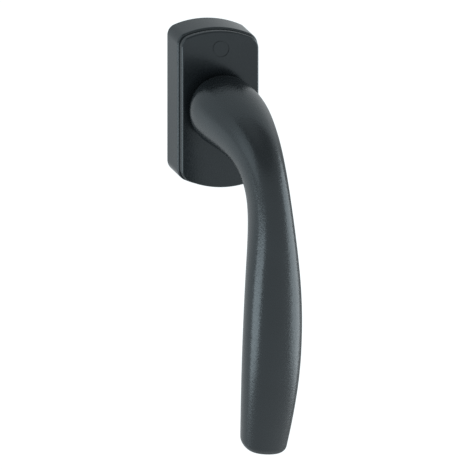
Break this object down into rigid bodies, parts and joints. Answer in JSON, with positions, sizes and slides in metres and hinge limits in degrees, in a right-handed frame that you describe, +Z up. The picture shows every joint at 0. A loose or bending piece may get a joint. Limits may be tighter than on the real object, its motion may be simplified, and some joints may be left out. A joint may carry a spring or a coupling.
{
  "type": "window handle",
  "caption": "Tilt and turn window handle: a bowed lever with a broad round neck on an arched two-step rose, with square spindle and fixing screws.",
  "frame": {"origin": "on the spindle axis, in the plane of the rose's back, which stands on the window frame", "axes": "+Y into the window frame along the spindle, -Y into the room, +Z up along the rose, +X to the right seen from the room; the lever hangs towards -Z"},
  "size_m": [0.0342, 0.0992, 0.1614],
  "materials": {
    "lever_satin": "satin anthracite, fine grained",
    "cover_cast": "satin anthracite",
    "rose_cast": "satin anthracite",
    "black_acetal": "matt moulded",
    "zinc_plated_steel": "zinc plated",
    "bright_screw": "zinc plated",
    "sleeve_steel": "zinc plated, matt",
    "spring_steel": "blued",
    "hard_steel": "ground",
    "rivet_aluminium": "bright"
  },
  "bodies": {
    "rose": {"rose_body": "rose_cast", "base_plate": "zinc_plated_steel", "plate_rivet_1": "rivet_aluminium", "plate_rivet_2": "rivet_aluminium", "plate_rivet_3": "rivet_aluminium", "plate_rivet_4": "rivet_aluminium", "neck_bush": "black_acetal", "detent_spring_left": "spring_steel", "detent_spring_right": "spring_steel", "fixing_screw_upper": "bright_screw", "fixing_screw_lower": "bright_screw", "locating_sleeve_upper": "sleeve_steel", "locating_sleeve_lower": "sleeve_steel"},
    "handle": {"lever": "lever_satin", "spindle": "zinc_plated_steel", "spindle_pin": "spring_steel", "index_cam": "hard_steel", "thrust_washer": "black_acetal", "cam_shim": "spring_steel", "retaining_ring": "spring_steel"},
    "clip": {"cover_clip": "spring_steel"},
    "cover": {"cover_plate": "cover_cast"}
  },
  "joints": [
    {"name": "handle_turn", "type": "hinge", "parent": "rose", "child": "handle", "pos_m": [0, 0, 0], "axis": [0, -1, 0], "continuous": true, "deforming": ["detent_spring_left", "detent_spring_right"]},
    {"name": "cover_lift", "type": "slide", "parent": "rose", "child": "clip", "axis": [0, -1, 0], "range_m": [0, 0.001]},
    {"name": "cover_turn", "type": "hinge", "parent": "clip", "child": "cover", "pos_m": [0, 0, 0], "axis": [0, -1, 0], "range_deg": [-90, 90]}
  ]
}
